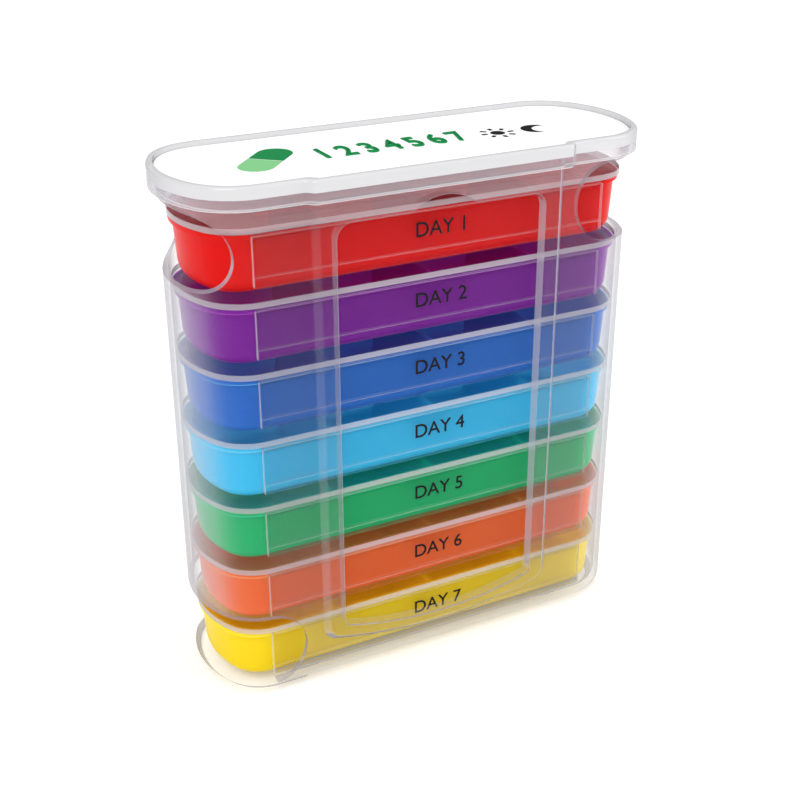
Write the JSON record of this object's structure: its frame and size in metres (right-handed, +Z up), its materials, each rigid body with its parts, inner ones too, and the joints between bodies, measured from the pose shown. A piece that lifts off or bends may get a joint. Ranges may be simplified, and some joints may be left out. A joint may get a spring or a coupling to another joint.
{
  "type": "pill organizer tower",
  "caption": "Clear upright case with a front window that holds a stack of coloured pill trays with sliding lids under a lift-off cap.",
  "frame": {"origin": "middle of the case's flat foot", "axes": "+Z up, -Y the windowed front, +X the right end seen from the front"},
  "size_m": [0.1134, 0.0422, 0.1221],
  "materials": {
    "clear_plastic": "clear moulded, glossy",
    "lid_plastic": "clear moulded, glossy",
    "cap_plastic": "milky clear, satin gloss",
    "label_paper": "smooth white printed label",
    "tray_red": "translucent coloured, satin gloss",
    "tray_violet": "translucent coloured, satin gloss",
    "tray_blue": "translucent coloured, satin gloss",
    "tray_light_blue": "translucent coloured, satin gloss",
    "tray_green": "translucent coloured, satin gloss",
    "tray_orange": "translucent coloured, satin gloss",
    "tray_yellow": "translucent coloured, satin gloss"
  },
  "bodies": {
    "case": {"case": "clear_plastic"},
    "cap": {"cap": "cap_plastic", "cap_label": "label_paper"},
    "tray_1": {"tray_1": "tray_red"},
    "lid_1": {"lid_1": "lid_plastic"},
    "tray_7": {"tray_7": "tray_yellow"},
    "lid_7": {"lid_7": "lid_plastic"},
    "tray_2": {"tray_2": "tray_violet", "lid_2": "lid_plastic"},
    "tray_3": {"tray_3": "tray_blue", "lid_3": "lid_plastic"},
    "tray_4": {"tray_4": "tray_light_blue", "lid_4": "lid_plastic"},
    "tray_5": {"tray_5": "tray_green", "lid_5": "lid_plastic"},
    "tray_6": {"tray_6": "tray_orange", "lid_6": "lid_plastic"}
  },
  "joints": [
    {"name": "tray_7_slide", "type": "slide", "parent": "case", "child": "tray_7", "axis": [-1, 0, 0], "range_m": [0, 0.112]},
    {"name": "lid_7_slide", "type": "slide", "parent": "tray_7", "child": "lid_7", "axis": [-1, 0, 0], "range_m": [0, 0.08]},
    {"name": "tray_6_lift", "type": "slide", "parent": "case", "child": "tray_6", "axis": [0, 0, 1], "range_m": [0, 0.1032]},
    {"name": "tray_5_lift", "type": "slide", "parent": "tray_6", "child": "tray_5", "axis": [0, 0, 1], "range_m": [0, 0.0873]},
    {"name": "tray_4_lift", "type": "slide", "parent": "tray_5", "child": "tray_4", "axis": [0, 0, 1], "range_m": [0, 0.0714]},
    {"name": "tray_3_lift", "type": "slide", "parent": "tray_4", "child": "tray_3", "axis": [0, 0, 1], "range_m": [0, 0.0555]},
    {"name": "tray_2_lift", "type": "slide", "parent": "tray_3", "child": "tray_2", "axis": [0, 0, 1], "range_m": [0, 0.0396]},
    {"name": "tray_1_slide", "type": "slide", "parent": "tray_2", "child": "tray_1", "axis": [1, 0, 0], "range_m": [0, 0.112]},
    {"name": "lid_1_slide", "type": "slide", "parent": "tray_1", "child": "lid_1", "axis": [1, 0, 0], "range_m": [0, 0.08]},
    {"name": "cap_lift", "type": "slide", "parent": "tray_2", "child": "cap", "axis": [0, 0, 1], "range_m": [0, 0.04]}
  ]
}
